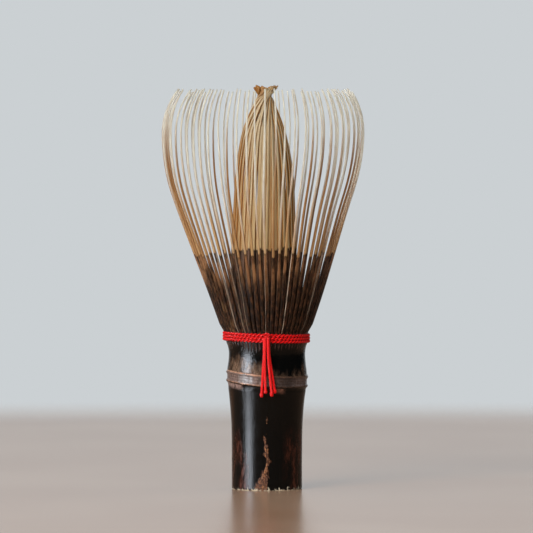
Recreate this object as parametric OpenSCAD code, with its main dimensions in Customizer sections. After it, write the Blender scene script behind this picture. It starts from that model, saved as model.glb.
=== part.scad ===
// Bamboo tea whisk: a hollow culm handle, a cage of springy outer tines, an inner
// bundle of twisted tines, and three rows of thread with a knot and four tails.
// Millimetres, +Z up. The origin is the centre of the handle's flat base.

/* [Handle] */
// Height of the handle, from its flat base to the shoulder where the tines start
handle_h = 45.6; // [42:0.1:60]
// Diameter of the handle at its base
foot_d = 20.5; // [18:0.1:24]
// Height of the groove between the two ridges of the bamboo node
node_z = 32; // [30:0.1:36]
// Diameter over the ridges of the node
node_d = 24; // [22.8:0.1:29]
// Depth of the groove between the ridges
groove_depth = 0.25; // [0.1:0.05:0.6]
// Distance between the two ridges
ridge_gap = 2.8; // [2:0.1:4]
// Diameter of the neck between the node and the thread
neck_d = 22.4; // [21:0.1:25]
// Diameter of the seat that the thread is wound on
seat_d = 24; // [22.8:0.1:29]
// Chamfer round the edge of the base
foot_chamfer = 0.3; // [0.1:0.05:0.8]

/* [Hollow of the culm] */
// Diameter of the bore that opens at the base
bore_d = 14; // [10:0.1:16]
// Depth of the bore, up to the diaphragm inside the node
bore_depth = 28; // [18:0.5:29]
// Thickness of the diaphragm
diaphragm_t = 2.2; // [1.2:0.1:3.5]
// Diameter of the cup above the diaphragm, open between the tines
cup_d = 17.6; // [14:0.1:18]

/* [Splits] */
// Number of sections that the culm is split into
sections = 16; // [16]
// Width of each split
split_w = 0.25; // [0.1:0.05:0.5]
// How far each split runs down from the shoulder
split_depth = 5.6; // [3:0.1:8]

/* [Outer tines] */
// Outer tines cut from each section, and inner tines as well
tines_per_section = 4; // [2:1:4]
// How far the skin side of a tine stands out past the thread's seat at its root
root_proud = 0.75; // [0.3:0.05:1]
// Angle of the straight flare from the vertical, in degrees
flare_angle = 19.4; // [14:0.1:24]
// Length of the straight flare
flare_len = 42.4; // [34:0.1:51]
// Radius of the outward bow above the flare
bow_r = 55; // [45:1:70]
// Radius of the inward curl at the tip
curl_r = 20; // [16:0.5:26]
// Angle that the tip curls inward past the vertical, in degrees
curl_angle = 38.5; // [30:0.5:46]
// Width of an outer tine at its root
outer_root_w = 0.72; // [0.5:0.01:0.9]
// Width of an outer tine at its tip
outer_tip_w = 0.4; // [0.3:0.01:0.6]
// Thickness of an outer tine at its root
outer_root_t = 1.1; // [0.8:0.05:1.4]
// Thickness of an outer tine at its tip
outer_tip_t = 0.35; // [0.25:0.01:0.5]

/* [Inner tines] */
// Distance from the wall of the cup to the outer side of an inner tine at its root
inner_inset = 1.4; // [1:0.05:1.6]
// Height of the waist, where the tips are twisted together, above the shoulder
waist_h = 69; // [58:0.1:83]
// Radius of the waist
waist_r = 2.4; // [2:0.05:3]
// Height of the crown of tips above the waist
crown_h = 2.9; // [2:0.1:4]
// Radius of the crown of tips
crown_r = 3.6; // [3:0.05:5]
// Turn of the tips about the axis, in degrees
bundle_twist = 80; // [50:1:100]
// Width of an inner tine at its root
inner_root_w = 0.6; // [0.4:0.01:0.7]
// Width of an inner tine below the waist
inner_tip_w = 0.36; // [0.25:0.01:0.45]
// Thickness of an inner tine at its root
inner_root_t = 0.8; // [0.5:0.05:1]
// Thickness of an inner tine at its tip
inner_tip_t = 0.3; // [0.2:0.01:0.4]

/* [Thread] */
// Number of rows of thread
rows = 3; // [3]
// Height of one row
row_h = 0.86; // [0.7:0.01:1]
// How far a row stands proud of its seat
row_proud = 0.8; // [0.6:0.01:1]
// Diameter of the knot
knot_d = 1.8; // [1.4:0.1:2.4]
// Diameter of a tail
tail_d = 0.8; // [0.6:0.05:1]
// Height of the tails' ends above the base
tail_end_z = 27.6; // [20:0.1:34]

/* [Clearances] */
// Gap under the sprung root of an outer tine
flex_gap = 0.12; // [0.1:0.01:0.2]
// Gap between a tail and what it hangs in front of
tail_gap = 0.15; // [0.1:0.01:0.3]

/* [Hidden] */
$fn = 64;
pad = 1;
slots = sections * tines_per_section;
pitch = 360 / slots;
section_angle = 360 / sections;
bamboo = "#2b1d15";
split_bamboo = "#b08a5b";
bundle_bamboo = "#a67c4c";
thread_red = "#c81818";

function two_digits(n) = n < 10 ? str("0", n) : str(n);
OUTER = [for (s = [1:sections]) str("outer_tines_", two_digits(s))];
INNER = [for (s = [1:sections]) str("inner_tines_", two_digits(s))];
ROWS = [for (r = [1:rows]) str("thread_row_", r)];
TAILS = [for (t = [1:4]) str("thread_tail_", t)];

function mix(a, b, t) = a + (b - a) * t;
function ease(t) = t * t * (3 - 2 * t);

// The handle's outline, from the base up: [radius, height].
foot_r = foot_d / 2;
node_r = node_d / 2;
neck_r = neck_d / 2;
seat_r = seat_d / 2;
outer_root_r = seat_r + root_proud;
inner_root_r = cup_d / 2 + inner_inset;
lower_ridge_z = node_z - ridge_gap / 2;
upper_ridge_z = node_z + ridge_gap / 2;
swell_z = lower_ridge_z / 2;
seat_z = handle_h - rows * row_h;
neck_z = mix(upper_ridge_z, seat_z, 0.68);
swell = [for (i = [0:5]) let (t = i / 6)
    [mix(foot_r, node_r, t * t), mix(swell_z, lower_ridge_z, t)]];
ridges = [for (i = [0:8]) let (t = i / 8)
    [node_r - groove_depth * (1 - cos(360 * t)) / 2, mix(lower_ridge_z, upper_ridge_z, t)]];
waist_in = [for (i = [1:5]) let (t = i / 5)
    [mix(node_r, neck_r, ease(t)), mix(upper_ridge_z, neck_z, t)]];
waist_out = [for (i = [1:3]) let (t = i / 3)
    [mix(neck_r, seat_r, t * t), mix(neck_z, seat_z, t)]];
outline = concat([[0, 0], [foot_r - foot_chamfer, 0], [foot_r, foot_chamfer]],
    swell, ridges, waist_in, waist_out, [[seat_r, handle_h], [0, handle_h]]);

module handle() {
    color(bamboo)
    difference() {
        rotate_extrude() polygon(outline);
        translate([0, 0, -pad]) cylinder(d = bore_d, h = bore_depth + pad);
        translate([0, 0, bore_depth + diaphragm_t]) cylinder(d = cup_d, h = handle_h);
        for (s = [0:sections - 1]) rotate(s * section_angle)
            translate([0, -split_w / 2, handle_h - split_depth])
                cube([seat_d, split_w, split_depth + pad]);
    }
}

// A tine is a bar through a list of stations, each
// [radius of its outer side, height, lean from the vertical, width, thickness, turn].
function station_corners(s) = let (
    r = s[0], z = s[1], lean = s[2], w = s[3] / 2, t = s[4], a = s[5],
    r_in = r - t * cos(lean), z_in = z + t * sin(lean), w_in = 0.8 * w)
    [for (c = [[r, -w, z], [r, w, z], [r_in, w_in, z_in], [r_in, -w_in, z_in]])
        [c[0] * cos(a) - c[1] * sin(a), c[0] * sin(a) + c[1] * cos(a), c[2]]];

module bar(stations) {
    last = len(stations) - 1;
    points = [for (s = stations) each station_corners(s)];
    walls = [for (i = [0:last - 1], j = [0:3]) let (
        a = 4 * i + j, b = 4 * i + (j + 1) % 4, c = b + 4, d = a + 4)
        each [[a, d, c], [a, c, b]]];
    top = 4 * last;
    ends = [[0, 1, 2], [0, 2, 3], [top + 3, top + 2, top + 1], [top + 3, top + 1, top]];
    polyhedron(points, concat(walls, ends));
}

// Outer tine: a straight flare, an outward bow and an inward curl, all tangent.
bow_len = bow_r * flare_angle * PI / 180;
curl_len = curl_r * curl_angle * PI / 180;
outer_len = flare_len + bow_len + curl_len;
outer_root_z = handle_h + flex_gap;
flare_end = [outer_root_r + flare_len * sin(flare_angle), outer_root_z + flare_len * cos(flare_angle)];
bow_end = [flare_end[0] + bow_r * (1 - cos(flare_angle)), flare_end[1] + bow_r * sin(flare_angle)];
function outer_station(r, z, lean, run) = let (u = run / outer_len)
    [r, z, lean, mix(outer_root_w, outer_tip_w, u), mix(outer_root_t, outer_tip_t, sqrt(u)), 0];
outer_stations = concat(
    [for (i = [0:2]) let (d = flare_len * i / 3)
        outer_station(outer_root_r + d * sin(flare_angle), outer_root_z + d * cos(flare_angle),
            i == 0 ? 0 : flare_angle, d)],
    [for (i = [0:2]) let (a = flare_angle * (1 - i / 3))
        outer_station(bow_end[0] - bow_r * (1 - cos(a)), bow_end[1] - bow_r * sin(a), a,
            flare_len + bow_len * i / 3)],
    [for (i = [0:4]) let (a = curl_angle * i / 4)
        outer_station(bow_end[0] - curl_r * (1 - cos(a)), bow_end[1] + curl_r * sin(a), -a,
            flare_len + bow_len + curl_len * i / 4)]);

module outer_tines(s) {
    color(split_bamboo)
    for (k = [0:tines_per_section - 1])
        rotate(s * section_angle + (k + 0.25) * pitch) bar(outer_stations);
}

// Inner tine: one curve from the shoulder to the waist, then a crown that opens out.
// It narrows where the ring of tines grows tight, so that neighbours stay apart.
inner_curve = [
    [inner_root_r, handle_h],
    [inner_root_r - 0.3, handle_h + waist_h * 0.5],
    [inner_root_r - 1.4, handle_h + waist_h * 0.912],
    [waist_r, handle_h + waist_h]];
tight_share = 0.7;
function curve_at(p, t) = let (u = 1 - t)
    p[0] * u * u * u + p[1] * 3 * u * u * t + p[2] * 3 * u * t * t + p[3] * t * t * t;
function curve_dir(p, t) = let (u = 1 - t)
    (p[1] - p[0]) * u * u + (p[2] - p[1]) * 2 * u * t + (p[3] - p[2]) * t * t;
function inner_station(p, lean, t, turn) = let (
    thick = mix(inner_root_t, inner_tip_t, t),
    room = tight_share * 2 * PI * (p[0] - thick) / slots)
    [p[0], p[1], lean, min(mix(inner_root_w, inner_tip_w, t), room), thick, turn];
crown_lean = atan2(crown_r - waist_r, crown_h);
curve_steps = 9;
inner_stations = concat(
    [for (i = [0:curve_steps - 1]) let (t = i / curve_steps, d = curve_dir(inner_curve, t))
        inner_station(curve_at(inner_curve, t), i == 0 ? 0 : atan2(d[0], d[1]), t,
            bundle_twist * pow(t, 4) * 0.8)],
    [inner_station([waist_r, handle_h + waist_h], 0, 1, bundle_twist * 0.8),
     inner_station([crown_r, handle_h + waist_h + crown_h], crown_lean, 1, bundle_twist)]);

module inner_tines(s) {
    color(bundle_bamboo)
    for (k = [0:tines_per_section - 1])
        rotate(s * section_angle + (k + 0.75) * pitch) bar(inner_stations);
}

// Thread: rows stacked on the seat, flat against it and round outside.
row_out_r = seat_r + row_proud;
row_round_r = row_h / 2;
module thread_row(i) {
    z = seat_z + (i - 1) * row_h;
    color(thread_red) {
        rotate_extrude() translate([seat_r, z])
            square([row_proud - row_round_r, row_h]);
        rotate_extrude() difference() {
            translate([row_out_r - row_round_r, z + row_round_r]) circle(row_round_r);
            translate([0, z]) square([seat_r, row_h]);
        }
    }
}

knot_at = [0, -(row_out_r + 0.36 * knot_d), seat_z + 2.1 * row_h];
module thread_knot() {
    color(thread_red) translate(knot_at) sphere(d = knot_d);
}

// Tails: two hang at the back and two in front. A straight line from the front of the
// thread to the front of the node's upper ridge sets how far they lean.
// Each is [x at the knot, x at its end, layer].
tail_lay = [[-0.55, -1.35, 0], [-0.5, -0.2, 1], [0.5, 1.7, 1], [0.55, 2.7, 0]];
tail_top_z = knot_at[2] - knot_d / 2 - tail_d / 2;
ridge_air = 0.3;
tail_top_y = -(row_out_r + tail_d / 2 + tail_gap);
ridge_y = -(node_r + tail_d / 2 + tail_gap + ridge_air);
ridge_share = (tail_top_z - upper_ridge_z) / (tail_top_z - tail_end_z);
tail_end_y = tail_top_y + (ridge_y - tail_top_y) / ridge_share;
module thread_tail(i) {
    lay = tail_lay[i - 1];
    forward = lay[2] * (tail_d + tail_gap);
    top = [lay[0], tail_top_y - forward, tail_top_z];
    end = [lay[1], tail_end_y - forward, tail_end_z];
    run = end - top;
    color(thread_red) {
        translate(top) rotate([0, acos(run[2] / norm(run)), atan2(run[1], run[0])])
            cylinder(d = tail_d, h = norm(run));
        translate(end) sphere(d = tail_d * 1.15);
    }
}

handle();
for (s = [1:sections]) outer_tines(s - 1);
for (s = [1:sections]) inner_tines(s - 1);
for (r = [1:rows]) thread_row(r);
thread_knot();
for (t = [1:4]) thread_tail(t);
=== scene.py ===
import math
import random

import bmesh
import bpy
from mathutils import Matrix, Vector, noise


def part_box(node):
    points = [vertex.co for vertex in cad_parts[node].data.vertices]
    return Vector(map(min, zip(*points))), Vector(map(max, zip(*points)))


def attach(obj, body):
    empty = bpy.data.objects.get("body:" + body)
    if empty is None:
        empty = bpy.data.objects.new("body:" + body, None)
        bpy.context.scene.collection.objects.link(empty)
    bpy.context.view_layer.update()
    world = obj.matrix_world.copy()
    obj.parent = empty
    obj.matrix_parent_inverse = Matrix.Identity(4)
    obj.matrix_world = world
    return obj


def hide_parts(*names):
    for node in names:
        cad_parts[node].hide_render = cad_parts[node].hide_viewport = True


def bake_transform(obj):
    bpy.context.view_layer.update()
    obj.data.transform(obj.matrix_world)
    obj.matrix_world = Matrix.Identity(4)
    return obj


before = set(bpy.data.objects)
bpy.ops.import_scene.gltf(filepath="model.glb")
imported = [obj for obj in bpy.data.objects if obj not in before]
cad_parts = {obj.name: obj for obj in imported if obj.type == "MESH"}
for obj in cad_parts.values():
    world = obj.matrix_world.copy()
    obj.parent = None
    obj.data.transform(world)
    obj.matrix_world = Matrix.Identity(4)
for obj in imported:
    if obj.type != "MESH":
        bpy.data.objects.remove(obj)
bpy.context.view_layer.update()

MM = 0.001


# ---------------------------------------------------------------------------
# Sizes, in millimetres, from the frame
# ---------------------------------------------------------------------------

def box_mm(node):
    low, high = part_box(node)
    return low / MM, high / MM


SECTIONS = sum(name.startswith("outer_tines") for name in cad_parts)
TINES_EACH = 4
TINES = TINES_EACH * SECTIONS
PITCH = 2 * math.pi / TINES
SHOULDER_Z = box_mm("handle")[1].z
CROWN_TOP_Z = box_mm("inner_tines_01")[1].z
BAND_BOTTOM_Z = box_mm("thread_row_1")[0].z
ROW_H = box_mm("thread_row_2")[0].z - BAND_BOTTOM_Z
BAND_R = box_mm("thread_row_1")[1].x
KNOT_LOW, KNOT_HIGH = box_mm("thread_knot")
KNOT = (KNOT_LOW + KNOT_HIGH) / 2
TAIL_END_Z = box_mm("thread_tail_1")[0].z

BORE_R = 7.0
BORE_TOP_Z = 28.0
CUP_R = 8.8
CUP_FLOOR_Z = 30.2
UPPER_RIDGE_Z = 33.4
LOWER_RIDGE_Z = 30.6
SKIN_END_Z = 68.6
BUNDLE_SKIN_END_Z = 70.2
BAND_SHIFT = 0.2

# The node runs slanting round the culm: its lift, slant and sag over this half width.
RIDGE_SPAN = 12.0
RIDGE_LIFT = 0.25
RIDGE_SLANT = 0.9
RIDGE_SAG = 0.6

# How far the cage and the bundle lean to one side, by height.
CAGE_DRIFT = [(43, -0.20), (57, -0.35), (70, -0.85), (84, -1.30), (100, -1.08), (117, -0.95)]
BUNDLE_DRIFT = [(43, -0.20), (56, -0.5), (70, -0.9), (90, -0.75), (108, -0.95), (114, -0.7), (118, -0.3)]


def mix(a, b, t):
    return a + (b - a) * t


def ridge_rise(x):
    """This much lifts a height onto the level node."""
    across = x / RIDGE_SPAN
    return RIDGE_LIFT + RIDGE_SLANT * across - RIDGE_SAG * across * across


def ease(t):
    t = min(max(t, 0.0), 1.0)
    return t * t * (3 - 2 * t)


def bell(x, middle, reach):
    return math.exp(-((x - middle) / reach) ** 2)


def through(points, x):
    """A smooth line through a few named points, each (place, value)."""
    if x <= points[0][0]:
        return points[0][1]
    for i in range(len(points) - 1):
        (x0, y0), (x1, y1) = points[i], points[i + 1]
        if x <= x1:
            before = points[max(i - 1, 0)]
            after = points[min(i + 2, len(points) - 1)]
            span = x1 - x0
            m0 = (y1 - before[1]) / (x1 - before[0]) * span
            m1 = (after[1] - y0) / (after[0] - x0) * span
            t = (x - x0) / span
            return ((2 * t ** 3 - 3 * t ** 2 + 1) * y0 + (t ** 3 - 2 * t ** 2 + t) * m0
                    + (3 * t ** 2 - 2 * t ** 3) * y1 + (t ** 3 - t ** 2) * m1)
    return points[-1][1]


# ---------------------------------------------------------------------------
# Finishes
# ---------------------------------------------------------------------------

class Finish:
    """A material with short calls for the nodes that make its pattern."""

    def __init__(self, name, **surface):
        self.material = bpy.data.materials.new(name)
        self.material.use_nodes = True
        self.tree = self.material.node_tree
        self.tree.nodes.clear()
        self.shader = self.add("ShaderNodeBsdfPrincipled")
        self.output = self.add("ShaderNodeOutputMaterial")
        self.tree.links.new(self.shader.outputs[0], self.output.inputs["Surface"])
        for socket, value in surface.items():
            self.shader.inputs[socket.replace("_", " ")].default_value = value

    def add(self, kind, **settings):
        node = self.tree.nodes.new(kind)
        for key, value in settings.items():
            setattr(node, key, value)
        return node

    def feed(self, socket, value):
        if isinstance(value, bpy.types.NodeSocket):
            self.tree.links.new(value, socket)
        elif isinstance(value, (tuple, list)) and socket.type == "RGBA":
            socket.default_value = (*value[:3], 1.0)
        else:
            socket.default_value = value

    def math(self, operation, a, b=0.0, c=0.0):
        node = self.add("ShaderNodeMath", operation=operation)
        for socket, value in zip(node.inputs, (a, b, c)):
            self.feed(socket, value)
        return node.outputs[0]

    def times(self, a, b):
        return self.math("MULTIPLY", a, b)

    def plus(self, a, b):
        return self.math("ADD", a, b)

    def minus(self, a, b):
        return self.math("SUBTRACT", a, b)

    def scaled(self, value, by, plus):
        return self.math("MULTIPLY_ADD", value, by, plus)

    def apart(self, a, b):
        return self.math("ABSOLUTE", self.minus(a, b))

    def length(self, x, y):
        return self.math("SQRT", self.plus(self.times(x, x), self.times(y, y)))

    def spread(self, value, low, high, to_low=0.0, to_high=1.0):
        """Turns low..high smoothly into to_low..to_high, and holds outside."""
        node = self.add("ShaderNodeMapRange", interpolation_type="SMOOTHSTEP")
        for socket, v in zip(node.inputs, (value, low, high, to_low, to_high)):
            self.feed(socket, v)
        return node.outputs[0]

    def noise(self, place, scale, detail=3.0, rough=0.55):
        node = self.add("ShaderNodeTexNoise")
        self.feed(node.inputs["Vector"], place)
        self.feed(node.inputs["Scale"], scale)
        self.feed(node.inputs["Detail"], detail)
        self.feed(node.inputs["Roughness"], rough)
        return node.outputs[0]

    def stretched(self, place, x, y, z, shift=(0, 0, 0)):
        node = self.add("ShaderNodeMapping")
        self.feed(node.inputs["Vector"], place)
        node.inputs["Scale"].default_value = (x, y, z)
        node.inputs["Location"].default_value = shift
        return node.outputs[0]

    def mix(self, share, a, b):
        node = self.add("ShaderNodeMix", data_type="RGBA")
        self.feed(node.inputs[0], share)
        self.feed(node.inputs[6], a)
        self.feed(node.inputs[7], b)
        return node.outputs[2]

    def millimetres(self):
        place = self.add("ShaderNodeTexCoord").outputs["Object"]
        return self.stretched(place, 1000, 1000, 1000)

    def axes(self, place):
        node = self.add("ShaderNodeSeparateXYZ")
        self.feed(node.inputs[0], place)
        return node.outputs

    def attribute(self, name):
        return self.add("ShaderNodeAttribute", attribute_name=name).outputs["Fac"]

    def bump(self, height, distance, strength=1.0, under=None):
        node = self.add("ShaderNodeBump")
        self.feed(node.inputs["Height"], height)
        node.inputs["Distance"].default_value = distance * MM
        self.feed(node.inputs["Strength"], strength)
        if under is not None:
            self.feed(node.inputs["Normal"], under)
        return node.outputs[0]

    def let_light_through(self, share, colour):
        """Lets thin shavings glow a little with the light behind them."""
        glow = self.add("ShaderNodeBsdfTranslucent")
        self.feed(glow.inputs["Color"], colour)
        both = self.add("ShaderNodeMixShader")
        self.feed(both.inputs[0], share)
        self.tree.links.new(self.shader.outputs[0], both.inputs[1])
        self.tree.links.new(glow.outputs[0], both.inputs[2])
        self.tree.links.new(both.outputs[0], self.output.inputs["Surface"])

    def cracks(self, place, scale):
        """Distance to the nearest crack of a cracked surface."""
        node = self.add("ShaderNodeTexVoronoi", feature="DISTANCE_TO_EDGE")
        self.feed(node.inputs["Vector"], place)
        self.feed(node.inputs["Scale"], scale)
        return node.outputs["Distance"]

    def wear(self, **sockets):
        for socket, value in sockets.items():
            self.feed(self.shader.inputs[socket.replace("_", " ")], value)
        return self.material


# Colours of the skin, the cut wood and the thread.
BLACK_SKIN = (0.0022, 0.0024, 0.0023)
UMBER = (0.006, 0.0045, 0.0038)
RED_BROWN = (0.11, 0.028, 0.013)
ORANGE_TAN = (0.50, 0.205, 0.07)
WARM_GREY = (0.25, 0.16, 0.105)
RIDGE_PINK = (0.50, 0.27, 0.175)
CREAM = (0.78, 0.68, 0.50)
RIM_REFLECTION_BROWN = (0.06, 0.027, 0.016)
STREAK_EDGE = (0.075, 0.024, 0.010)
BASE_TAN = (0.34, 0.135, 0.05)
STREAK_HIGHLIGHT_TAN = (0.66, 0.38, 0.18)
SCRAPED_DARK = (0.09, 0.045, 0.026)
SCAR_DARK = (0.14, 0.085, 0.068)
SCAR_PALE = (0.25, 0.18, 0.16)
RING_DARK = (0.06, 0.032, 0.024)
BAND_HIGHLIGHT_GREY = (0.25, 0.235, 0.23)
HEM_PINK = (0.44, 0.29, 0.25)
HEM_BROWN = (0.20, 0.085, 0.055)
LIP_BROWN = (0.26, 0.12, 0.10)
SPLIT_SHADE_BLACK = (0.002, 0.0015, 0.0015)
SAWN_PALE = (0.60, 0.46, 0.28)
SAWN_DEEP = (0.44, 0.31, 0.17)
PORE_BROWN = (0.16, 0.085, 0.04)
FIBRE_TAN = (0.24, 0.11, 0.04)
DRIFT_TAN = (0.25, 0.12, 0.05)
TUFT_TAN = (0.58, 0.275, 0.065)
TUFT_BROWN = (0.36, 0.15, 0.03)
RED_LIT = (0.82, 0.006, 0.007)
RED_SHADED = (0.60, 0.003, 0.003)
RED_FUZZ = (0.90, 0.030, 0.026)
RED_FADED = (0.6, 0.005, 0.005)
RED_GROOVE_SHADE = (0.42, 0.001, 0.001)
RED_PLY_HIGHLIGHT = (0.92, 0.012, 0.012)


def smoked_skin():
    """Black-brown polished skin, mottled, with a cracked tan streak low in front."""
    f = Finish("smoked_skin", Specular_IOR_Level=0.27)
    mm = f.millimetres()
    x, y, z = f.axes(mm)
    grain = f.noise(f.stretched(mm, 1, 1, 0.05), 2.8, 4, 0.65)
    cloud = f.noise(f.stretched(mm, 1, 1, 0.32, (31, 7, 3)), 0.26, 3, 0.6)
    fleck = f.noise(f.stretched(mm, 1, 1, 0.35, (5, 19, 11)), 1.25, 5, 0.65)
    speck = f.noise(f.stretched(mm, 1, 1, 0.6, (2, 2, 17)), 2.9, 3, 0.6)
    # Along the grain the black thins to umber, and to red-brown low on both flanks.
    colour = f.mix(f.spread(grain, 0.50, 0.78), BLACK_SKIN, UMBER)
    low = f.spread(z, 20, 11)
    flank = f.spread(f.math("ABSOLUTE", x), 4.0, 8.0)
    warm = f.times(flank, low)
    warm = f.times(warm, f.spread(cloud, 0.38, 0.60))
    warm = f.times(warm, f.spread(fleck, 0.34, 0.62))
    warm = f.times(warm, f.spread(grain, 0.36, 0.58, 0.3, 1.0))
    colour = f.mix(warm, colour, RED_BROWN)
    # Painted reflection: a red-brown rim on the far left edge, below the node.
    rim_reflection = f.times(f.spread(x, -9.3, -10.1), f.spread(z, 31, 27))
    colour = f.mix(f.times(rim_reflection, 0.35), colour, RIM_REFLECTION_BROWN)
    # The streak wanders down the middle of the front and widens towards the base.
    wander = f.noise(f.stretched(mm, 0.0, 0.0, 1, (2.3, 0, 0)), 0.30, 2, 0.5)
    middle = f.scaled(wander, 2.6, f.spread(z, 9, 0, -1.5, -2.8))
    off = f.apart(x, middle)
    ragged = f.scaled(fleck, 3.4, -1.7)
    off = f.plus(off, ragged)
    wide = f.plus(f.spread(z, 20, 10, -0.12, 0.45), f.spread(z, 8, 0.5, 0.0, 1.3))
    streak = f.minus(1.0, f.spread(f.minus(off, wide), -0.25, 0.15))
    front = f.times(f.spread(y, -5, -8), f.spread(z, 25.0, 20))
    streak = f.times(streak, front)
    crack = f.spread(f.cracks(f.stretched(mm, 1, 0.2, 0.42, (3, 0, 5)), 0.95), 0.13, 0.03)
    chips = f.noise(f.stretched(mm, 1, 1, 0.7, (9, 2, 1)), 4.6, 3, 0.6)
    blotch = f.spread(f.scaled(speck, 0.5, f.times(chips, 0.5)), 0.49, 0.56)
    open_wood = f.times(blotch, f.minus(1.0, f.times(crack, 0.8)))
    colour = f.mix(f.times(streak, 0.75), colour, STREAK_EDGE)
    open_tan = f.mix(f.spread(z, 6.5, 3.0), ORANGE_TAN, BASE_TAN)
    # Pale flecks in the open wood are painted highlights.
    open_tan = f.mix(f.spread(fleck, 0.56, 0.66), open_tan, STREAK_HIGHLIGHT_TAN)
    colour = f.mix(f.times(streak, open_wood), colour, open_tan)
    # Above the node the skin is scraped back to warm grey-brown in patches, painted stronger and reaching
    # further on the lit sides as painted light.
    level = f.plus(z, RIDGE_LIFT)
    across = f.times(x, 1 / RIDGE_SPAN)
    level = f.scaled(across, RIDGE_SLANT, level)
    level = f.scaled(f.times(across, across), -RIDGE_SAG, level)
    lit_side = f.spread(x, 6, -3, 0.22, 1.0)
    lit_side = f.plus(lit_side, f.spread(x, 6.5, 9.5, 0.0, 0.5))
    # Painted light: the ridge lines are brightest on the lit left and fade to the right.
    lit_ridge_side = f.spread(x, 1.0, -5.0, 0.15, 1.0)
    upper = f.scaled(lit_side, -3.0, f.scaled(cloud, -7.0, level))
    upper = f.plus(upper, f.spread(x, -6.0, -9.0, 0.0, -1.4))
    upper = f.spread(upper, 32.0, 29.2)
    scraped_and_lit = f.times(f.spread(level, 33.3, 33.6), upper)
    patch = f.scaled(fleck, 0.4, f.times(cloud, 0.25))
    patch = f.scaled(speck, 0.35, patch)
    scraped_and_lit = f.times(scraped_and_lit, f.spread(patch, 0.40, 0.58))
    scraped_and_lit = f.times(scraped_and_lit, f.scaled(lit_side, 0.5, 0.5))
    worn = f.mix(f.spread(speck, 0.4, 0.62), WARM_GREY, SCRAPED_DARK)
    colour = f.mix(f.times(scraped_and_lit, 0.85), colour, worn)
    # Between the ridges the bark scar is grey-pink, painted full on the lit left and faded towards the
    # right as painted shade, and each ridge has a pale broken line, painted brighter on the lit left.
    band = f.times(f.spread(level, 30.5, 30.9), f.spread(level, 33.5, 33.2))
    band = f.times(band, f.spread(fleck, 0.25, 0.5, 0.4, 1.0))
    scar = f.mix(f.spread(speck, 0.30, 0.70), SCAR_DARK, SCAR_PALE)
    ring = f.math("SINE", f.times(f.scaled(cloud, 0.5, level), 8.4))
    scar = f.mix(f.spread(ring, 0.2, 0.95, 0.0, 0.3), scar, RING_DARK)
    # Painted highlight: a pale grey patch on the band left of the front, where the window shows in the
    # polish.
    band_highlight = f.spread(f.apart(x, -6.2), 2.6, 1.0)
    band_highlight = f.times(band_highlight, f.spread(speck, 0.30, 0.62, 0.35, 0.9))
    scar = f.mix(band_highlight, scar, BAND_HIGHLIGHT_GREY)
    colour = f.mix(f.times(band, lit_side), colour, scar)
    lines = ((UPPER_RIDGE_Z + 0.12, 0.16, 0.95), (LOWER_RIDGE_Z + 0.02, 0.14, 0.75))
    for ridge_z, width, share in lines:
        gap = f.apart(level, ridge_z)
        line = f.spread(f.scaled(fleck, 1.1, gap), width + 0.70, width + 0.40)
        line = f.times(line, lit_ridge_side)
        colour = f.mix(f.times(line, share), colour, RIDGE_PINK)
    hem = f.times(f.spread(level, 28.2, 29.8), f.spread(level, 30.3, 30.0))
    hem = f.times(hem, f.spread(f.mix(0.5, fleck, speck), 0.28, 0.60))
    hem_left = f.times(hem, f.spread(x, -6.6, -8.2, 0.0, 0.85))
    colour = f.mix(hem_left, colour, HEM_PINK)
    hem_right = f.spread(f.apart(x, 3.3), 2.4, 1.0)
    colour = f.mix(f.times(hem, hem_right), colour, HEM_BROWN)
    # The splits are painted near black as shade in their grooves, with a red-brown lip along each side.
    colour = f.mix(f.attribute("lip"), colour, LIP_BROWN)
    colour = f.mix(f.attribute("split"), colour, SPLIT_SHADE_BLACK)
    # The sawn edge of the base shows cream where the skin has chipped.
    chip = f.noise(f.stretched(mm, 1, 1, 0.3, (0, 3, 9)), 2.3, 3, 0.7)
    edge = f.scaled(f.spread(chip, 0.48, 0.74), 1.15, 0.09)
    thin = f.noise(f.stretched(mm, 1, 1, 0.3, (7, 1, 4)), 0.9, 2, 0.5)
    chipped = f.spread(f.minus(z, edge), 0.10, -0.04)
    chipped = f.times(chipped, f.spread(thin, 0.42, 0.54))
    colour = f.mix(chipped, colour, CREAM)
    # The polish is broken by the grain, and dulled where the wood is bare.
    bare = f.math("MAXIMUM", f.math("MAXIMUM", chipped, streak), f.times(warm, 0.6))
    polish = f.spread(z, 33, 29, 0.08, 0.145)
    rough = f.scaled(f.spread(fleck, 0.35, 0.7), 0.12, polish)
    rough = f.plus(rough, f.times(bare, 0.3))
    relief = f.bump(grain, 0.07, 0.6)
    relief = f.bump(speck, 0.10, f.spread(level, 29.5, 31.5, 0.15, 0.4), relief)
    relief = f.bump(chips, 0.06, f.spread(level, 29.5, 31.5, 0.0, 0.35), relief)
    relief = f.bump(f.times(streak, open_wood), 0.15, 0.6, relief)
    relief = f.bump(f.times(band, ring), -0.06, 0.5, relief)
    return f.wear(Base_Color=colour, Roughness=rough, Normal=relief)


def sawn_bamboo():
    """The inside and the sawn end of the culm: cream wood with brown fibre bundles."""
    f = Finish("sawn_bamboo", Roughness=0.7)
    mm = f.millimetres()
    x, y, _ = f.axes(mm)
    radius = f.length(x, y)
    dots = f.add("ShaderNodeTexVoronoi")
    f.feed(dots.inputs["Vector"], f.stretched(mm, 1, 1, 0.04))
    dots.inputs["Scale"].default_value = 2.3
    dot = f.spread(dots.outputs["Distance"], 0.30, 0.18)
    outer = f.spread(radius, 7.5, 10.2, 0.25, 1.0)
    wood = f.noise(f.stretched(mm, 1, 1, 0.1), 0.9, 3)
    colour = f.mix(f.spread(wood, 0.35, 0.7), SAWN_PALE, SAWN_DEEP)
    colour = f.mix(f.times(dot, outer), colour, PORE_BROWN)
    relief = f.bump(f.plus(wood, dot), 0.06, 0.5)
    return f.wear(Base_Color=colour, Normal=relief)


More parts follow.
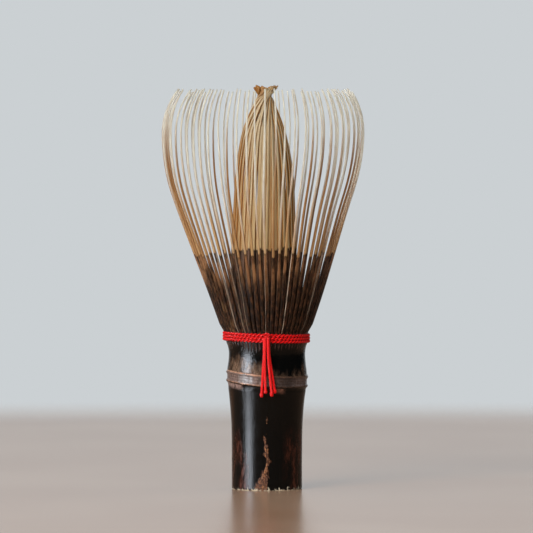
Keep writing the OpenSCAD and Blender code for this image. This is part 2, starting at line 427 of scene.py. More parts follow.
def tine_finish(name, skin_end, root_dark, root_brown, tan, pale, deep, rough, glow, bare=0.0):
    """Split bamboo: dark to the end of the skin, then shaved and paler to the tip.
    Tines of a low tone are stained deeper, which on the bundle's behind and left strands is painted shade,
    and those of a high tone have bare pale edges.
    The map's first axis runs across a tine and its second is height in millimetres."""
    f = Finish(name, Roughness=rough, Specular_IOR_Level=0.12)
    across, height, _ = f.axes(f.add("ShaderNodeUVMap", uv_map="grain").outputs[0])
    tone = f.attribute("tone")
    place = f.add("ShaderNodeCombineXYZ")
    f.feed(place.inputs[0], across)
    f.feed(place.inputs[1], f.times(height, 0.035))
    f.feed(place.inputs[2], f.times(tone, 40.0))
    fibre = f.noise(place.outputs[0], 5.5, 4, 0.6)
    drift = f.noise(f.stretched(place.outputs[0], 0.6, 3.0, 1), 3.0, 2, 0.5)
    # Clouds that run over neighbouring tines, as they did over the whole culm.
    cloud = f.noise(f.stretched(f.millimetres(), 1, 1, 0.5), 0.30, 4, 0.62)
    fleck = f.noise(f.stretched(f.millimetres(), 1, 1, 0.45), 1.3, 3, 0.6)
    rise = f.scaled(cloud, 16.0, height)
    dark = f.mix(f.spread(rise, 62, 76), root_dark, root_brown)
    # The smoke lies in broad patches, thickest low down and right of the middle, where the extra depth is
    # painted shade; where the patches thin, on the left and higher up, the paler brown is painted light.
    side, depth, top = f.axes(f.millimetres())
    patch = f.noise(f.stretched(f.millimetres(), 1, 1, 0.6, (0, 12, 4)), 0.15, 3, 0.55)
    patch = f.scaled(f.spread(side, -3, 4), 0.10, patch)
    patch = f.scaled(f.spread(top, 66, 52), 0.12, patch)
    dark = f.mix(f.spread(patch, 0.50, 0.72, 0.0, 0.7), dark, root_dark)
    dark = f.mix(f.spread(patch, 0.50, 0.38, 0.0, 0.4), dark, f.mix(0.4, root_brown, tan))
    dark = f.mix(f.spread(cloud, 0.54, 0.40, 0.0, 0.85), dark, root_dark)
    dark = f.mix(f.spread(fleck, 0.44, 0.64, 0.0, 0.35), dark, f.mix(0.5, root_brown, RED_BROWN))
    worn = f.times(f.spread(fibre, 0.52, 0.70), f.spread(rise, 62, 74, 0.12, 0.42))
    dark = f.mix(worn, dark, f.mix(0.4, root_brown, tan))
    ageing = f.spread(tone, 0.0, 1.0, -0.5, 0.5)
    rise = f.scaled(ageing, 16.0, height)
    light = f.mix(f.spread(rise, 72, 102), tan, pale)
    light = f.mix(f.spread(fibre, 0.46, 0.72, 0.0, 0.4), light, f.mix(0.4, tan, FIBRE_TAN))
    light = f.mix(f.spread(drift, 0.46, 0.75, 0.0, 0.3), light, f.mix(0.5, tan, DRIFT_TAN))
    # Low tone deepens the colour: stain, and on the bundle's behind and left strands painted shade.
    stain_and_shade = f.times(f.spread(tone, 0.34, 0.16), f.spread(rise, 104, 82))
    light = f.mix(stain_and_shade, light, f.mix(f.spread(fibre, 0.4, 0.7), deep, tan))
    rubbed = f.times(f.spread(tone, 0.87, 0.91), f.spread(fibre, 0.36, 0.5, 0.0, bare))
    dark = f.mix(rubbed, dark, f.mix(0.65, root_brown, f.mix(0.5, tan, pale)))
    away = f.plus(f.times(side, side), f.times(depth, depth))
    tuft = f.times(f.spread(side, 0.4, -1.4), f.spread(top, 113.0, 115.6))
    tuft = f.times(tuft, f.spread(away, 100, 60, 0.0, 0.8))
    tuft_brown = f.mix(f.spread(fibre, 0.38, 0.62), TUFT_TAN, TUFT_BROWN)
    light = f.mix(tuft, light, tuft_brown)
    end = f.scaled(ageing, 1.3, skin_end)
    end = f.plus(end, f.scaled(fibre, 2.0, -1.0))
    above = f.minus(height, end)
    shaved = f.spread(above, -0.12, 0.12)
    colour = f.mix(shaved, dark, light)
    # A scorched line where the knife lifted the skin.
    line = f.times(f.spread(above, -0.9, -0.1), f.spread(above, 0.25, 0.0))
    colour = f.mix(f.times(line, 0.4), colour, root_dark)
    relief = f.bump(fibre, 0.05, 0.6)
    share = f.times(shaved, f.spread(height, 70, 110, 0.4 * glow, glow))
    f.let_light_through(share, colour)
    return f.wear(Base_Color=colour, Normal=relief)


def red_thread():
    """Twisted red thread: fine slanted fibres and a soft sheen."""
    f = Finish("red_thread", Roughness=0.32, Sheen_Weight=0.05, Sheen_Roughness=0.4,
               Specular_IOR_Level=0.18)
    round_it, along, _ = f.axes(f.add("ShaderNodeUVMap", uv_map="grain").outputs[0])
    slant = f.scaled(round_it, 6.0, f.times(along, 9.0))
    strand = f.math("SINE", f.times(slant, 2 * math.pi))
    mm = f.millimetres()
    fuzz = f.noise(mm, 7.0, 3, 0.6)
    wander = f.noise(mm, 0.45, 2, 0.5)
    colour = f.mix(f.spread(strand, -1, 1, 0.0, 0.55), RED_LIT, RED_SHADED)
    colour = f.mix(f.spread(fuzz, 0.4, 0.75, 0.0, 0.35), colour, RED_FUZZ)
    colour = f.mix(f.spread(wander, 0.35, 0.7, 0.0, 0.25), colour, RED_FADED)
    # Painted shade where one ply dips behind the other, so the red is deeper there, and a painted
    # highlight where it stands out, so it is brighter.
    x, y, _ = f.axes(mm)
    away = f.minus(f.length(f.plus(x, BAND_SHIFT), y), BAND_R)
    colour = f.mix(f.spread(away, -0.20, -0.50), colour, RED_GROOVE_SHADE)
    colour = f.mix(f.spread(away, -0.16, -0.02, 0.0, 0.4), colour, RED_PLY_HIGHLIGHT)
    relief = f.bump(f.scaled(fuzz, 0.8, strand), 0.03, 0.8)
    return f.wear(Base_Color=colour, Normal=relief)


SKIN = smoked_skin()
SAWN = sawn_bamboo()
OUTER_SKIN = tine_finish(
    "outer_tine_skin", SKIN_END_Z, root_dark=(0.010, 0.0055, 0.004), root_brown=(0.235, 0.108, 0.046),
    tan=(0.56, 0.34, 0.15), pale=(0.87, 0.86, 0.765), deep=(0.38, 0.19, 0.075), rough=0.42, glow=0.5)
OUTER_CUT = tine_finish(
    "outer_tine_cut", SKIN_END_Z, root_dark=(0.014, 0.008, 0.005), root_brown=(0.28, 0.136, 0.066),
    tan=(0.54, 0.31, 0.14), pale=(0.87, 0.85, 0.77), deep=(0.34, 0.16, 0.06), rough=0.55, glow=0.5,
    bare=0.8)
BUNDLE_SKIN = tine_finish(
    "bundle_tine_skin", BUNDLE_SKIN_END_Z, root_dark=(0.014, 0.008, 0.006),
    root_brown=(0.11, 0.052, 0.028), tan=(0.58, 0.42, 0.21), pale=(0.71, 0.595, 0.38),
    deep=(0.47, 0.245, 0.085), rough=0.5, glow=0.35)
BUNDLE_CUT = tine_finish(
    "bundle_tine_cut", BUNDLE_SKIN_END_Z, root_dark=(0.02, 0.012, 0.008),
    root_brown=(0.12, 0.062, 0.032), tan=(0.52, 0.24, 0.07), pale=(0.58, 0.31, 0.105),
    deep=(0.44, 0.185, 0.045), rough=0.6, glow=0.45)
RED = red_thread()


# ---------------------------------------------------------------------------
# Pieces
# ---------------------------------------------------------------------------

def piece(bm, name, materials, nodes):
    """Turns a bmesh in millimetres into a finished object in metres."""
    bmesh.ops.scale(bm, vec=(MM, MM, MM), verts=bm.verts)
    mesh = bpy.data.meshes.new(name)
    bm.to_mesh(mesh)
    bm.free()
    for material in materials:
        mesh.materials.append(material)
    for polygon in mesh.polygons:
        polygon.use_smooth = True
    made = bpy.data.objects.new(name, mesh)
    bpy.context.scene.collection.objects.link(made)
    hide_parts(*nodes)
    return made


# --- Culm -------------------------------------------------------------------

CULM_STEPS = 512
SPLITS = TINES
SPLIT_LOW_Z = 38.5
SPLIT_DEPTH = 0.38
CULM_OUTLINE = [(0, 10.25), (10, 10.25), (18, 10.36), (23, 10.66), (27, 11.05), (29.6, 11.42),
                (32, 11.66), (34.4, 11.62), (37, 11.28), (39.6, 11.12), (41.6, 11.4), (43, 11.9),
                (SHOULDER_Z, 12.05)]


def culm_radius(z):
    beads = 0.36 * bell(z, UPPER_RIDGE_Z, 0.42) + 0.42 * bell(z, LOWER_RIDGE_Z, 0.46)
    below = -0.07 * bell(z, LOWER_RIDGE_Z - 1.25, 0.5)
    return through(CULM_OUTLINE, z) + beads + below


def culm_levels():
    """Heights of the rings on the outside of the culm, close together where it has detail."""
    levels = [0.0, 0.12, 0.3, 0.6, 1.0, 1.5, 2.1]
    levels += [2.1 + 1.35 * i for i in range(1, 20)]
    levels += [28.0 + 0.22 * i for i in range(1, 35)]
    levels += [36.2, 37, 37.8, 38.5, 39.1, 39.6, 40.1, 40.6, 41.1, 41.6, 42.1, 42.6, 43.2, 44, SHOULDER_Z]
    return levels


def turned_culm():
    """The culm as turned on a lathe: outside, cup at the top and bore from below."""
    bm = bmesh.new()
    line = [(culm_radius(z), z) for z in culm_levels()]
    line += [(CUP_R, SHOULDER_Z), (CUP_R, 38), (CUP_R, CUP_FLOOR_Z + 0.8), (CUP_R - 0.8, CUP_FLOOR_Z),
             (CUP_R / 2, CUP_FLOOR_Z - 0.3), (0, CUP_FLOOR_Z - 0.4)]
    under = [(0, BORE_TOP_Z + 0.1), (BORE_R / 2, BORE_TOP_Z), (BORE_R - 0.8, BORE_TOP_Z - 0.2),
             (BORE_R, BORE_TOP_Z - 1), (BORE_R, 14), (BORE_R, 0.0)]
    for points in (line, under):
        corners = [bm.verts.new((r, 0, z)) for r, z in points]
        for a, b in zip(corners, corners[1:]):
            bm.edges.new((a, b))
    bmesh.ops.spin(bm, geom=bm.verts[:] + bm.edges[:], cent=(0, 0, 0), axis=(0, 0, 1),
                   angle=2 * math.pi, steps=CULM_STEPS, use_merge=True)
    bmesh.ops.remove_doubles(bm, verts=bm.verts[:], dist=0.0005)
    rims = [e for e in bm.edges if e.is_boundary and abs(e.verts[0].co.z) < 0.01]
    bmesh.ops.bridge_loops(bm, edges=rims)
    bmesh.ops.recalc_face_normals(bm, faces=bm.faces[:])
    return bm


def carve_culm(bm):
    """Slants the node, roughens the skin, chips the base and cuts the splits at the top."""
    split = bm.verts.layers.float.new("split")
    lip = bm.verts.layers.float.new("lip")
    outside = [v for v in bm.verts if math.hypot(v.co.x, v.co.y) > CUP_R + 1]
    starts = random.Random(5)
    split_start = [starts.uniform(39.9, 42.0) for _ in range(SPLITS)]
    per_split = CULM_STEPS // SPLITS
    for v in outside:
        angle = math.atan2(v.co.y, v.co.x)
        column = round(angle / (2 * math.pi) * CULM_STEPS) % CULM_STEPS
        z = v.co.z
        near_node = bell(z, 32, 4.0)
        sway = ridge_rise(v.co.x) + 0.25 * noise.noise(Vector((v.co.x, v.co.y, 0)) * 0.3)
        radius = culm_radius(z + sway * near_node) if 1.0 < z < 42 else culm_radius(z)
        uneven = noise.noise(Vector((v.co.x * 0.16, v.co.y * 0.16, z * 0.05)))
        radius += 0.07 * uneven
        pits = noise.noise(Vector((v.co.x * 1.1, v.co.y * 1.1, z * 0.7 + 9)))
        radius += 0.06 * pits * near_node
        if z < 0.25:
            chips = noise.noise(Vector((math.cos(angle) * 16, math.sin(angle) * 16, 2)))
            radius -= 0.10 + 0.22 * max(chips, 0)
        place = column % per_split
        start = split_start[(column // per_split) % SPLITS]
        open_share = ease((z - start) / 1.6)
        if z > SPLIT_LOW_Z and place == 0:
            radius -= SPLIT_DEPTH * open_share
            v[split] = open_share
        if z > SPLIT_LOW_Z and place in (1, per_split - 1):
            v[lip] = 0.5 * open_share
        scale = radius / math.hypot(v.co.x, v.co.y)
        v.co.x *= scale
        v.co.y *= scale


def make_culm():
    bm = turned_culm()
    carve_culm(bm)
    for face in bm.faces:
        middle = face.calc_center_median()
        radius = math.hypot(middle.x, middle.y)
        inside = radius < CUP_R + 0.1 or abs(face.normal.z) > 0.9
        face.material_index = 1 if inside else 0
    made = piece(bm, "culm_with_node", [SKIN, SAWN], ["handle"])
    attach(made, "culm")


# --- Tines ------------------------------------------------------------------

OUTER_CUTS = 30
INNER_CUTS = 34


def bar_template(cuts):
    """A straight bar, one unit square and one unit long, with rounded long edges."""
    bm = bmesh.new()
    bmesh.ops.create_cube(bm, size=1.0)
    upright = [e for e in bm.edges if abs(e.verts[0].co.z - e.verts[1].co.z) > 0.5]
    bmesh.ops.bevel(bm, geom=upright, offset=0.2, segments=2, profile=0.5,
                    affect="EDGES", material=-1)
    upright = [e for e in bm.edges if abs(e.verts[0].co.z - e.verts[1].co.z) > 0.5]
    bmesh.ops.subdivide_edges(bm, edges=upright, cuts=cuts - 1, use_grid_fill=False)
    mesh = bpy.data.meshes.new("bar_template")
    bm.to_mesh(mesh)
    bm.free()
    return mesh


def tube_template(cuts, sides, capped=True):
    """A straight round tube, one unit across and one unit long."""
    bm = bmesh.new()
    bmesh.ops.create_cone(bm, cap_ends=capped, segments=sides, radius1=0.5, radius2=0.5, depth=1.0)
    upright = [e for e in bm.edges if abs(e.verts[0].co.z - e.verts[1].co.z) > 0.5]
    bmesh.ops.subdivide_edges(bm, edges=upright, cuts=cuts - 1, use_grid_fill=False)
    mesh = bpy.data.meshes.new("tube_template")
    bm.to_mesh(mesh)
    bm.free()
    return mesh


def square_to(run, facing):
    """The side and the front of something that runs one way and faces another."""
    side = run.cross(facing).normalized()
    return side, side.cross(run).normalized()


def frames_along(path, cuts, facing, width, depth, closed=False):
    """Frames for each level of a template: place, side, front, width and depth.
    facing(t) is the direction that the skin of the bar looks in."""
    places = [path(i / cuts) for i in range(cuts + 1)]
    frames = []
    for i in range(cuts + 1):
        t = i / cuts
        before, after = max(i - 1, 0), min(i + 1, cuts)
        if closed:
            before, after = (i - 1) % cuts, (i + 1) % cuts
        run = (places[after] - places[before]).normalized()
        side, front = square_to(run, facing(t))
        frames.append((places[i], side, front, width(t), depth(t)))
    return frames


def lay_template(bm, template, cuts, frames, tone, around=False):
    """Adds a copy of the template to bm and bends it along the frames."""
    grain = bm.loops.layers.uv.get("grain") or bm.loops.layers.uv.new("grain")
    tone_layer = bm.verts.layers.float.get("tone") or bm.verts.layers.float.new("tone")
    first_vert, first_face = len(bm.verts), len(bm.faces)
    bm.from_mesh(template)
    bm.verts.ensure_lookup_table()
    bm.faces.ensure_lookup_table()
    local = {}
    for v in bm.verts[first_vert:]:
        level = round((v.co.z + 0.5) * cuts)
        local[v] = (v.co.x, v.co.y, level)
    for face in bm.faces[first_face:]:
        skin = face.normal.y > 0.6
        face.material_index = 0 if skin or around else 1
        turn = max(math.atan2(local[loop.vert][1], local[loop.vert][0]) for loop in face.loops)
        for loop in face.loops:
            x, y, level = local[loop.vert]
            place, _, _, width, depth = frames[level]
            if around:
                angle = math.atan2(y, x)
                if turn - angle > math.pi:
                    angle += 2 * math.pi
                loop[grain].uv = (angle / (2 * math.pi), level / cuts * 10)
            else:
                spot = x * width if abs(face.normal.y) > 0.5 else y * depth + 3
                loop[grain].uv = (spot + tone * 7, place.z)
    for v, (x, y, level) in local.items():
        place, side, front, width, depth = frames[level]
        v.co = place + side * (x * width) + front * (y * depth)
        v[tone_layer] = tone


FLARE = math.radians(19.4)
ROOT_R = 12.75
ROOT_Z = SHOULDER_Z + 0.12
FLARE_LEN = 42.4
BOW_R = 55.0
CURL_R = 20.0
CURL = math.radians(38.5)


def cage_point(run):
    """Radius and height of the skin side of an outer tine, by length along it from its root."""
    flare_r = ROOT_R + FLARE_LEN * math.sin(FLARE)
    flare_z = ROOT_Z + FLARE_LEN * math.cos(FLARE)
    bow_r = flare_r + BOW_R * (1 - math.cos(FLARE))
    bow_z = flare_z + BOW_R * math.sin(FLARE)
    if run < FLARE_LEN:
        return ROOT_R + run * math.sin(FLARE), ROOT_Z + run * math.cos(FLARE)
    if run < FLARE_LEN + BOW_R * FLARE:
        lean = FLARE - (run - FLARE_LEN) / BOW_R
        return bow_r - BOW_R * (1 - math.cos(lean)), bow_z - BOW_R * math.sin(lean)
    lean = (run - FLARE_LEN - BOW_R * FLARE) / CURL_R
    return bow_r - CURL_R * (1 - math.cos(lean)), bow_z + CURL_R * math.sin(lean)


CAGE_RUN = FLARE_LEN + BOW_R * FLARE + CURL_R * CURL
TINE_START = -2.3
ROOT_LEAN = 0.12
ROOT_TUCK = 0.6
TINE_SWAY = 0.012
TIP_SPLAY = 0.22
OUTER_TURN = 0.25
INNER_TURN = 0.75


def outer_tine(bm, template, number, draw):
    """One outer tine: rooted behind the thread, flared, bowed and curled in at the tip."""
    angle = (number + OUTER_TURN) * PITCH
    drift = draw.gauss(0, TINE_SWAY)
    early = draw.gauss(0, TINE_SWAY)
    length = CAGE_RUN * draw.uniform(0.985, 1.003)
    splay = draw.gauss(0, TIP_SPLAY)
    tuck = draw.uniform(0.85, 1.2)
    wide = draw.uniform(0.80, 1.16)
    tone = draw.random()

    def path(t):
        run = TINE_START + t * (length - TINE_START)
        far = max(run, 0) / CAGE_RUN
        radius, z = cage_point(max(run, 0))
        if run < 0:
            radius, z = ROOT_R + run * ROOT_LEAN, ROOT_Z + run
        radius -= ROOT_TUCK * math.exp(-max(run, 0) ** 2)
        past = max(run - FLARE_LEN - BOW_R * FLARE, 0)
        radius += splay * far * far - 0.02 * (tuck - 1) * past * past
        a = angle + drift * far * far + early * math.sin(math.pi * far)
        radius -= thick(t) / 2
        radius *= 1 - 0.016 * ease(far * 1.5)
        return Vector((radius * math.cos(a) + through(CAGE_DRIFT, z), radius * math.sin(a), z))

    def facing(t):
        return Vector((math.cos(angle), math.sin(angle), 0))

    def width(t):
        height = path(t).z
        kept = 1 - ease((height - SKIN_END_Z + 10) / 15)
        return wide * mix(0.76, 0.42, t ** 0.9) + 0.30 * kept

    def thick(t):
        return mix(1.05, 0.34, t ** 0.6) + 0.7 * math.exp(-t * 26)

    frames = frames_along(path, OUTER_CUTS, facing, width, thick)
    lay_template(bm, template, OUTER_CUTS, frames, tone)


def make_cage():
    template = bar_template(OUTER_CUTS)
    draw = random.Random(11)
    for section in range(SECTIONS):
        bm = bmesh.new()
        for k in range(TINES_EACH):
            outer_tine(bm, template, section * TINES_EACH + k, draw)
        name = f"outer_tines_{section + 1:02d}"
        made = piece(bm, name + "_shaved", [OUTER_SKIN, OUTER_CUT], [name])
        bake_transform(made)


WAIST_Z = CROWN_TOP_Z - 2.9
WAIST_R = 2.1
WAIST_SHARE = 0.955
CROWN_R = 3.6
BUNDLE_ROOT_Z = SHOULDER_Z - 0.5
BUNDLE_OUTLINE = [(BUNDLE_ROOT_Z, 10.2), (58, 9.9), (70, 9.6), (80, 9.2), (91, 8.6), (98.4, 7.65),
                  (105.7, 5.95), (111.5, 3.6), (WAIST_Z, WAIST_R)]


def inner_tine(bm, template, number, draw):
    """One inner tine: up the bundle, turned about the axis at the waist, loose at the crown."""
    angle = (number + INNER_TURN + draw.gauss(0, 0.07)) * PITCH
    behind = number % 2
    sunk = 0.5 * behind + draw.uniform(0.0, 0.15)
    gather = (1.0, 0.62, 0.85, 0.42)[number * 3 % 4] * draw.uniform(0.88, 1.0)
    twist = draw.uniform(0.68, 1.04)
    wander = draw.gauss(0, 0.010)
    wobble = draw.uniform(0, 6.28)
    end_x = math.cos(angle + twist * 2.2)
    crown_out = (0.8 + 0.2 * abs(end_x)) * draw.uniform(0.75, 1.08)
    crown_up = mix(0.8, 1.0, abs(end_x)) * draw.uniform(0.72, 1.0)
    wide = draw.uniform(0.88, 1.1)
    # Painted shade: strands behind get a low tone and those towards the left a lower one, so the finish
    # paints them deeper brown.
    tone = draw.uniform(0.0, 0.34) if behind else draw.uniform(0.25, 0.83)
    tone *= 1 - 0.75 * max(-math.cos(angle), 0.0) ** 1.5

    def slant(radius):
        """How far round a straight run is from its nearest point to the axis."""
        return twist * math.acos(min(WAIST_R / max(radius, WAIST_R), 1.0))

    def path(t):
        s = min(t / WAIST_SHARE, 1.0)
        z = mix(BUNDLE_ROOT_Z, WAIST_Z, s)
        radius = through(BUNDLE_OUTLINE, z)
        a = angle + slant(BUNDLE_OUTLINE[0][1]) - slant(radius) + wander * math.sin(5 * s + wobble)
        radius *= mix(1, gather, ease((s - 0.84) / 0.16))
        radius -= sunk * ease(s * 4) * (1 - ease((s - 0.75) / 0.25))
        up = max(t - WAIST_SHARE, 0) / (1 - WAIST_SHARE)
        if up > 0:
            radius = mix(WAIST_R, CROWN_R, up)
            a += slant(radius)
            radius *= mix(gather, crown_out, up)
            z = WAIST_Z + (CROWN_TOP_Z - WAIST_Z) * crown_up * up
        radius -= thick(t) / 2
        return Vector((radius * math.cos(a) + through(BUNDLE_DRIFT, z), radius * math.sin(a), z))

    def facing(t):
        place = path(t)
        return Vector((place.x - through(BUNDLE_DRIFT, place.z), place.y, 0)).normalized()

    def width(t):
        wider = 0.42 * behind * (1 - ease((t - 0.80) / 0.16))
        return (wide + wider) * mix(0.76, 0.44, t ** 2.2)

    def thick(t):
        return mix(0.75, 0.36, t) + 0.6 * math.exp(-t * 26)

    frames = frames_along(path, INNER_CUTS, facing, width, thick)
    lay_template(bm, template, INNER_CUTS, frames, tone)


def make_bundle():
    template = bar_template(INNER_CUTS)
    draw = random.Random(23)
    for section in range(SECTIONS):
        bm = bmesh.new()
        for k in range(TINES_EACH):
            inner_tine(bm, template, section * TINES_EACH + k, draw)
        name = f"inner_tines_{section + 1:02d}"
        made = piece(bm, name + "_shaved", [BUNDLE_SKIN, BUNDLE_CUT], [name])
        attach(made, "culm")


# --- Thread -----------------------------------------------------------------

BAND_TILT = 0.028
CROSSINGS = 64
ROW_TURN = 1.6
PLY_D = 0.52
PLY_OFF = 0.29
PLY_RISE = 0.26
PLY_SIDES = 8
BAND_MID_R = BAND_R - PLY_D / 2 - PLY_OFF

ROPE_PLIES = 3
ROPE_PLY_D = 0.56
ROPE_PLY_OFF = 0.24


def thread_row(index):
    """One row: two plies twined round each other, one crossing at every outer tine."""
    z = BAND_BOTTOM_Z + ROW_H * (index + 0.5)
    turns = CROSSINGS // 2
    cuts = CROSSINGS * 5
    template = tube_template(cuts, PLY_SIDES, capped=False)
    bm = bmesh.new()
    for ply in range(2):
        def path(t):
            a = 2 * math.pi * t
            twist = turns * a + math.pi * ply + ROW_TURN * index
            radius = BAND_MID_R + PLY_OFF * math.cos(twist)
            rise = PLY_RISE * math.sin(twist)
            x = radius * math.cos(a)
            return Vector((x - BAND_SHIFT, radius * math.sin(a), z + rise - BAND_TILT * x))

        def facing(t):
            a = 2 * math.pi * t
            return Vector((math.cos(a), math.sin(a), 0))

        def thick(t):
            return PLY_D

        frames = frames_along(path, cuts, facing, thick, thick, closed=True)
        lay_template(bm, template, cuts, frames, 0.5, around=True)
    bmesh.ops.remove_doubles(bm, verts=bm.verts[:], dist=0.0005)
    bmesh.ops.recalc_face_normals(bm, faces=bm.faces[:])
    made = piece(bm, f"thread_row_{index + 1}_twined", [RED], [f"thread_row_{index + 1}"])
    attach(made, "culm")


def rope(bm, path, cuts, thick, turns, swell=None):
    """A short cord of three twisted plies along a path."""
    template = tube_template(cuts, PLY_SIDES)
    up = Vector((0, -1, 0.02)).normalized()
    places = [path(i / cuts) for i in range(cuts + 1)]
    for ply in range(ROPE_PLIES):
        line = []
        for i in range(cuts + 1):
            t = i / cuts
            run = (places[min(i + 1, cuts)] - places[max(i - 1, 0)]).normalized()
            side, front = square_to(run, up)
            a = 2 * math.pi * (turns * t + ply / ROPE_PLIES)
            grow = swell(t) if swell else 1.0
            out = (side * math.cos(a) + front * math.sin(a)) * thick * ROPE_PLY_OFF * grow
            line.append((places[i] + out, grow))
        frames = []
        for i in range(cuts + 1):
            run = (line[min(i + 1, cuts)][0] - line[max(i - 1, 0)][0]).normalized()
            side, front = square_to(run, up)
            size = thick * ROPE_PLY_D * line[i][1]
            frames.append((line[i][0], side, front, size, size))
        lay_template(bm, template, cuts, frames, 0.5, around=True)


def make_knot():
    """The knot: a small flat loop over the band that holds the doubled ends."""
    bm = bmesh.new()
    front = -(BAND_R + 0.30)
    top = KNOT.z + 0.50

    def loop(t):
        a = 2 * math.pi * (t * 1.1 - 0.05)
        return Vector((-0.1 + 0.72 * math.cos(a), front - 0.12 * math.sin(a), top + 0.34 * math.sin(a)))

    def over(t):
        a = math.pi * (t - 0.5)
        return Vector((0.45 * math.sin(a) - 0.3, front - 0.12 - 0.30 * math.cos(a), top - 0.85 + 0.42 * t))

    rope(bm, loop, 36, 0.68, turns=4)
    rope(bm, over, 20, 0.72, turns=2.5)
    bmesh.ops.recalc_face_normals(bm, faces=bm.faces[:])
    made = piece(bm, "thread_knot_tied", [RED], ["thread_knot"])
    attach(made, "culm")


# Each tail: across at the top, across at the end, how far forward, and how much shorter.
TAIL_ENDS = [(-0.78, -1.66, 0.0, 0.0), (-0.62, -0.50, 0.72, 1.1), (0.28, 1.38, 0.72, 0.25),
             (0.40, 2.40, 0.0, 1.15)]


def make_tails():
    """Four ends of the thread, paired below the knot and parting over the node."""
    for i, (x_top, x_end, forward, short) in enumerate(TAIL_ENDS):
        top_z = KNOT.z - 0.30
        end_z = TAIL_END_Z + 0.15 + short

        def path(t):
            x = mix(x_top, x_end, t ** 1.65) + 0.06 * math.sin(7 * t + i)
            y = mix(-(BAND_R + 0.62), -12.75, ease(t * 1.4)) - forward * mix(0.25, 1.0, t)
            return Vector((x, y, mix(top_z, end_z, t)))

        def swell(t):
            bead = 0.42 * bell(t, 0.962, 0.026) - 0.35 * ease((t - 0.985) / 0.015)
            return 1.0 + bead + 0.16 * (1 - ease(t * 2.5))

        bm = bmesh.new()
        rope(bm, path, 72, 0.82, turns=10, swell=swell)
        bmesh.ops.recalc_face_normals(bm, faces=bm.faces[:])
        node = f"thread_tail_{i + 1}"
        made = piece(bm, node + "_twisted", [RED], [node])
        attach(made, "tassel")


make_culm()
make_cage()
make_bundle()
for row in range(3):
    thread_row(row)
make_knot()
make_tails()


# ---------------------------------------------------------------------------
# Floor, light and camera
# ---------------------------------------------------------------------------

WALL = (0.597, 0.631, 0.651)
TABLE_DEEP = (0.33, 0.185, 0.105)
TABLE_PALE = (0.37, 0.225, 0.14)
FLOOR_EDGE_Y = 0.43
FLOOR_R = 0.63
SOFT_EDGE = 0.085


def make_floor():
    f = Finish("pale_table", Roughness=0.25, IOR=2.3, Specular_IOR_Level=0.5)
    mm = f.millimetres()
    x, y, _ = f.axes(mm)
    away = f.length(x, f.plus(y, (FLOOR_R - FLOOR_EDGE_Y) / MM))
    clear = f.add("ShaderNodeBsdfTransparent")
    fade = f.add("ShaderNodeMixShader")
    f.feed(fade.inputs[0], f.spread(away, (FLOOR_R - SOFT_EDGE) / MM, (FLOOR_R + SOFT_EDGE) / MM))
    f.tree.links.new(f.shader.outputs[0], fade.inputs[1])
    f.tree.links.new(clear.outputs[0], fade.inputs[2])
    f.tree.links.new(fade.outputs[0], f.output.inputs["Surface"])
    cloud = f.noise(mm, 0.012, 3, 0.5)
    colour = f.mix(f.spread(cloud, 0.35, 0.65), TABLE_DEEP, TABLE_PALE)
    f.wear(Base_Color=colour)
    bm = bmesh.new()
    bmesh.ops.create_circle(bm, cap_ends=True, segments=96, radius=FLOOR_R + SOFT_EDGE)
    bmesh.ops.translate(bm, vec=(0, FLOOR_EDGE_Y - FLOOR_R, 0), verts=bm.verts)
    mesh = bpy.data.meshes.new("table_top")
    bm.to_mesh(mesh)
    bm.free()
    mesh.materials.append(f.material)
    table = bpy.data.objects.new("table_top", mesh)
    bpy.context.scene.collection.objects.link(table)


def make_light(name, place, aim, width, height, radiance, colour, polish):
    """polish: the light shows in polished surfaces only, or else lights matt colour only."""
    data = bpy.data.lights.new(name, "AREA")
    data.shape = "RECTANGLE"
    data.size, data.size_y = width, height
    data.energy = radiance * math.pi * width * height
    data.color = colour
    light = bpy.data.objects.new(name, data)
    light.location = place
    light.rotation_euler = (Vector(aim) - Vector(place)).to_track_quat("-Z", "Y").to_euler()
    light.visible_camera = False
    light.visible_glossy = polish
    light.visible_diffuse = not polish
    bpy.context.scene.collection.objects.link(light)


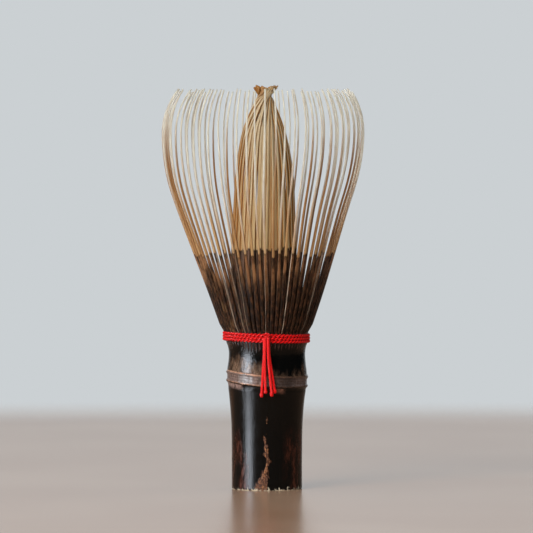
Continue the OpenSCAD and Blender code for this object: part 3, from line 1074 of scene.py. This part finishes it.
def make_world():
    """The camera sees an even pale wall. The polish sees the wall only straight behind
    and a dark room elsewhere. Matt surfaces get a soft room light, most from behind."""
    world = bpy.data.worlds.new("studio")
    bpy.context.scene.world = world
    world.use_nodes = True
    tree = world.node_tree
    tree.nodes.clear()

    def add(kind, **settings):
        node = tree.nodes.new(kind)
        for key, value in settings.items():
            setattr(node, key, value)
        return node

    def grade(axis, numbers):
        node = add("ShaderNodeMapRange", interpolation_type="SMOOTHSTEP")
        tree.links.new(direction.outputs[axis], node.inputs[0])
        for i, v in enumerate(numbers):
            node.inputs[i + 1].default_value = v
        return node.outputs[0]

    def glow(strength):
        node = add("ShaderNodeBackground")
        node.inputs["Color"].default_value = (*WALL, 1)
        if isinstance(strength, float):
            node.inputs["Strength"].default_value = strength
        else:
            tree.links.new(strength, node.inputs["Strength"])
        return node.outputs[0]

    def choose(share, first, second):
        node = add("ShaderNodeMixShader")
        tree.links.new(share, node.inputs[0])
        tree.links.new(first, node.inputs[1])
        tree.links.new(second, node.inputs[2])
        return node.outputs[0]

    direction = add("ShaderNodeSeparateXYZ")
    tree.links.new(add("ShaderNodeTexCoord").outputs["Generated"], direction.inputs[0])
    total = add("ShaderNodeMath", operation="ADD")
    tree.links.new(grade("Y", (-0.3, 0.6, 0.42, 1.0)), total.inputs[0])
    tree.links.new(grade("Z", (0.1, 0.9, 0.0, 0.5)), total.inputs[1])
    ray = add("ShaderNodeLightPath")
    polish = add("ShaderNodeMath", operation="MULTIPLY")
    tree.links.new(grade("Y", (0.86, 0.985, 0.02, 1.0)), polish.inputs[0])
    tree.links.new(grade("Z", (-0.03, 0.02, 0.9, 1.18)), polish.inputs[1])
    room = choose(ray.outputs["Is Glossy Ray"], glow(total.outputs[0]), glow(polish.outputs[0]))
    seen = choose(ray.outputs["Is Camera Ray"], room, glow(1.0))
    out = add("ShaderNodeOutputWorld")
    tree.links.new(seen, out.inputs["Surface"])


EYE = Vector((0.0, -1.8, 0.117))
AIM = Vector((-0.00015, 0.0, 0.0648))
SHOWN_WIDTH = 0.1553


def make_camera():
    data = bpy.data.cameras.new("camera")
    data.sensor_width = 36.0
    data.lens = data.sensor_width * (AIM - EYE).length / SHOWN_WIDTH
    data.clip_start, data.clip_end = 0.1, 50
    camera = bpy.data.objects.new("camera", data)
    camera.location = EYE
    camera.rotation_euler = (AIM - EYE).to_track_quat("-Z", "Y").to_euler()
    bpy.context.scene.collection.objects.link(camera)
    bpy.context.scene.camera = camera


make_floor()
make_light("window", place=(-1.055, -0.574, 0.52), aim=(0, 0, 0.52), width=0.44, height=1.04,
           radiance=27.0, colour=(0.84, 0.90, 1.0), polish=True)
make_light("room_left", place=(-0.80, -1.30, 0.75), aim=(0, 0, 0.06), width=0.9, height=0.9,
           radiance=11.2, colour=(1.0, 0.98, 0.95), polish=False)
make_light("room_fill", place=(0.5, -1.9, 1.0), aim=(0, 0, 0.06), width=1.4, height=0.8,
           radiance=0.35, colour=(1.0, 0.97, 0.93), polish=False)
make_world()
make_camera()
bpy.context.scene.view_settings.view_transform = "Standard"
